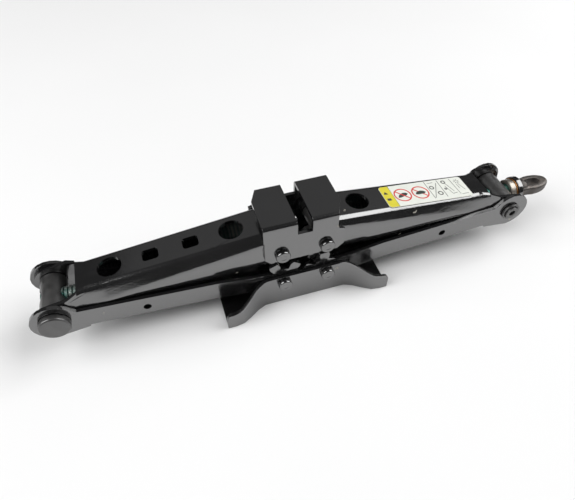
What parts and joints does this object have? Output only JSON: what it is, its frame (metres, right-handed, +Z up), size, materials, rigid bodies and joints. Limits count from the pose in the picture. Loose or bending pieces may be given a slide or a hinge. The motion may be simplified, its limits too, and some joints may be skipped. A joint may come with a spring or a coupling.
{
  "type": "scissor car jack",
  "caption": "Folded scissor jack: flared base, two pairs of geared channel arms, slotted saddle, and a lead screw between two trunnions with a crank eye.",
  "frame": {"origin": "on the ground under the middle of the base", "axes": "+X along the screw towards the crank eye, +Y across the jack towards the rear pin heads, +Z up"},
  "size_m": [0.4385, 0.0802, 0.0811],
  "materials": {
    "black_enamel": "gloss black stoving enamel",
    "dark_steel": "oiled dark steel",
    "screw_steel": "dark green zinc plate with bright thread crests",
    "bearing_steel": "ground steel, slightly stained",
    "bronze": "dull bronze",
    "forged_steel": "brown-grey forged steel",
    "label_paper": "printed film label"
  },
  "bodies": {
    "base": {"base_channel": "black_enamel", "base_pin_left": "black_enamel", "base_pin_right": "black_enamel", "base_spacer_left": "dark_steel", "base_spacer_right": "dark_steel"},
    "lower_arm_left": {"lower_arm_left": "black_enamel"},
    "lower_arm_right": {"lower_arm_right": "black_enamel"},
    "upper_arm_left": {"upper_arm_left": "black_enamel"},
    "upper_arm_right": {"upper_arm_right": "black_enamel", "instruction_label": "label_paper"},
    "saddle": {"saddle_bracket": "black_enamel", "saddle_pin_left": "black_enamel", "saddle_pin_right": "black_enamel", "saddle_spacer_left": "dark_steel", "saddle_spacer_right": "dark_steel"},
    "nut_trunnion": {"nut_trunnion": "dark_steel", "nut_trunnion_washer": "dark_steel"},
    "thrust_trunnion": {"thrust_trunnion": "dark_steel", "thrust_washer_front": "dark_steel", "thrust_washer_rear": "dark_steel"},
    "screw": {"lead_screw": "screw_steel", "thrust_bearing_ring": "bearing_steel", "bronze_thrust_washer": "bronze", "crank_collar": "black_enamel", "crank_eye": "forged_steel"}
  },
  "joints": [
    {"name": "lift", "type": "hinge", "parent": "base", "child": "lower_arm_left", "pos_m": [-0.0177, 0, 0.0234], "axis": [0, 1, 0], "range_deg": [0, 57]},
    {"name": "lower_right_hinge", "type": "hinge", "parent": "base", "child": "lower_arm_right", "pos_m": [0.0177, 0, 0.0234], "axis": [0, 1, 0], "range_deg": [-57, 0]},
    {"name": "left_elbow", "type": "hinge", "parent": "lower_arm_left", "child": "upper_arm_left", "pos_m": [-0.185, 0, 0.0373], "axis": [0, 1, 0], "range_deg": [-114, 0]},
    {"name": "right_elbow", "type": "hinge", "parent": "lower_arm_right", "child": "upper_arm_right", "pos_m": [0.185, 0, 0.0373], "axis": [0, 1, 0], "range_deg": [0, 114]},
    {"name": "saddle_hinge", "type": "hinge", "parent": "upper_arm_left", "child": "saddle", "pos_m": [-0.0177, 0, 0.0512], "axis": [0, 1, 0], "range_deg": [0, 57]},
    {"name": "nut_trunnion_turn", "type": "hinge", "parent": "lower_arm_left", "child": "nut_trunnion", "pos_m": [-0.185, 0, 0.0373], "axis": [0, 1, 0], "range_deg": [-57, 0]},
    {"name": "thrust_trunnion_turn", "type": "hinge", "parent": "lower_arm_right", "child": "thrust_trunnion", "pos_m": [0.185, 0, 0.0373], "axis": [0, 1, 0], "range_deg": [0, 57]},
    {"name": "screw_spin", "type": "hinge", "parent": "thrust_trunnion", "child": "screw", "pos_m": [0.185, 0, 0.0373], "axis": [1, 0, 0], "continuous": true}
  ],
  "couplings": [
    {"joint": "lower_right_hinge", "follows": "lift", "ratio": -1},
    {"joint": "left_elbow", "follows": "lift", "ratio": -2},
    {"joint": "right_elbow", "follows": "lift", "ratio": 2},
    {"joint": "saddle_hinge", "follows": "lift", "ratio": 1},
    {"joint": "nut_trunnion_turn", "follows": "lift", "ratio": -1},
    {"joint": "thrust_trunnion_turn", "follows": "lift", "ratio": 1}
  ]
}
